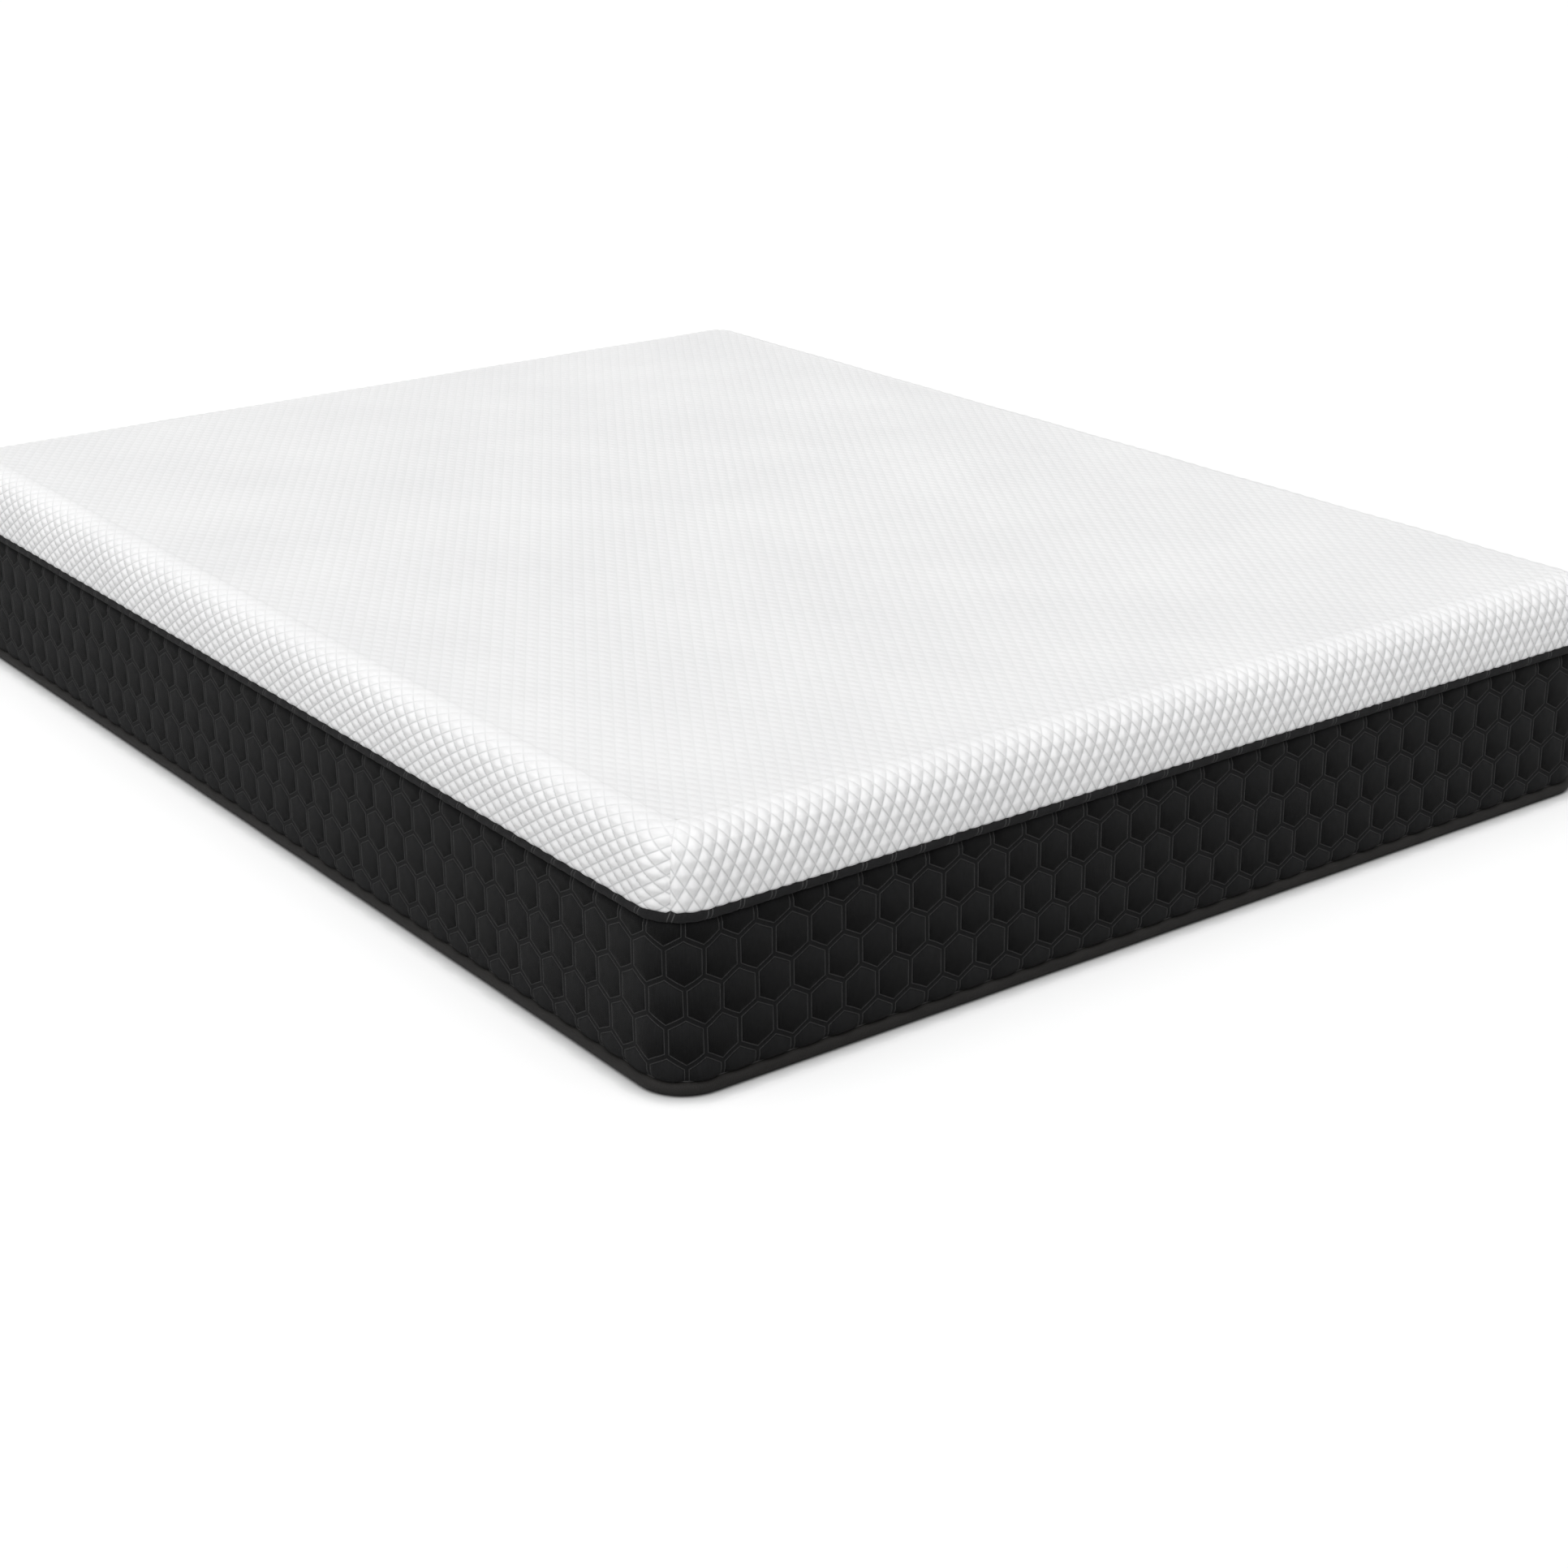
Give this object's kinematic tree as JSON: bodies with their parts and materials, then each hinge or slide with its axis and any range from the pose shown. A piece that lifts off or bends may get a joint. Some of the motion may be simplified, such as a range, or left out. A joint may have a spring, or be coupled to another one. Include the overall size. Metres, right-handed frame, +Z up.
{
  "type": "memory foam mattress",
  "caption": "Rectangular foam mattress in a fitted cover: white diamond-knit top, black honeycomb border between two rows of piping, zip on a short side.",
  "frame": {"origin": "centre of the footprint, on the floor plane under the base panel", "axes": "+Z up from the floor to the sleeping surface, +X across the width, +Y along the length towards the short side with the zip"},
  "size_m": [1.524, 2.032, 0.305],
  "materials": {
    "foam_support": "open-cell foam, cream",
    "foam_transition": "open-cell foam, pale blue-grey",
    "foam_memory": "slow-recovery foam, pale blue",
    "sock_knit": "fine knit, undyed",
    "wadding": "soft fibre fill",
    "knit_white": "stretch knit with raised diamonds",
    "seam_thread_white": "sewing thread",
    "border_black": "soft brushed weave, quilted in honeycomb cells",
    "border_foam": "thin foam backing",
    "thread_black": "sewing thread",
    "piping_black": "the border cloth rolled over a cord",
    "piping_ribbed": "fine ribbed tape",
    "piping_cord": "twisted cotton cord",
    "base_cloth": "non-slip cloth with fine dots",
    "zip_tape": "woven tape",
    "zip_coil": "nylon coil",
    "zip_metal": "dark satin coating",
    "label_white": "plain woven ribbon, no print"
  },
  "bodies": {
    "mattress": {"support_foam": "foam_support", "transition_foam": "foam_transition", "memory_foam": "foam_memory", "fire_sock": "sock_knit", "base_panel": "base_cloth", "lower_piping_cord": "piping_cord", "lower_piping": "piping_ribbed", "border_backing": "border_foam", "border_panel": "border_black", "border_closing_seam": "thread_black", "upper_piping_cord": "piping_cord", "upper_piping": "piping_black", "top_wadding": "wadding", "top_cover": "knit_white", "corner_seam_near_left": "seam_thread_white", "corner_seam_near_right": "seam_thread_white", "corner_seam_far_left": "seam_thread_white", "corner_seam_far_right": "seam_thread_white", "zip_tape_upper": "zip_tape", "zip_tape_lower": "zip_tape", "zip_coil_upper": "zip_coil", "zip_coil_lower": "zip_coil", "zip_stop_closed": "zip_metal", "zip_stop_open": "zip_metal", "care_label": "label_white"},
    "zip_slider": {"zip_slider": "zip_metal"},
    "zip_pull": {"zip_pull": "zip_metal"}
  },
  "joints": [
    {"name": "zip_slide", "type": "slide", "parent": "mattress", "child": "zip_slider", "axis": [-1, 0, 0], "range_m": [0, 1.239]},
    {"name": "pull_swing", "type": "hinge", "parent": "zip_slider", "child": "zip_pull", "pos_m": [0.6316, 1.0108, 0.032], "axis": [0, 0, -1], "range_deg": [0, 120]}
  ]
}
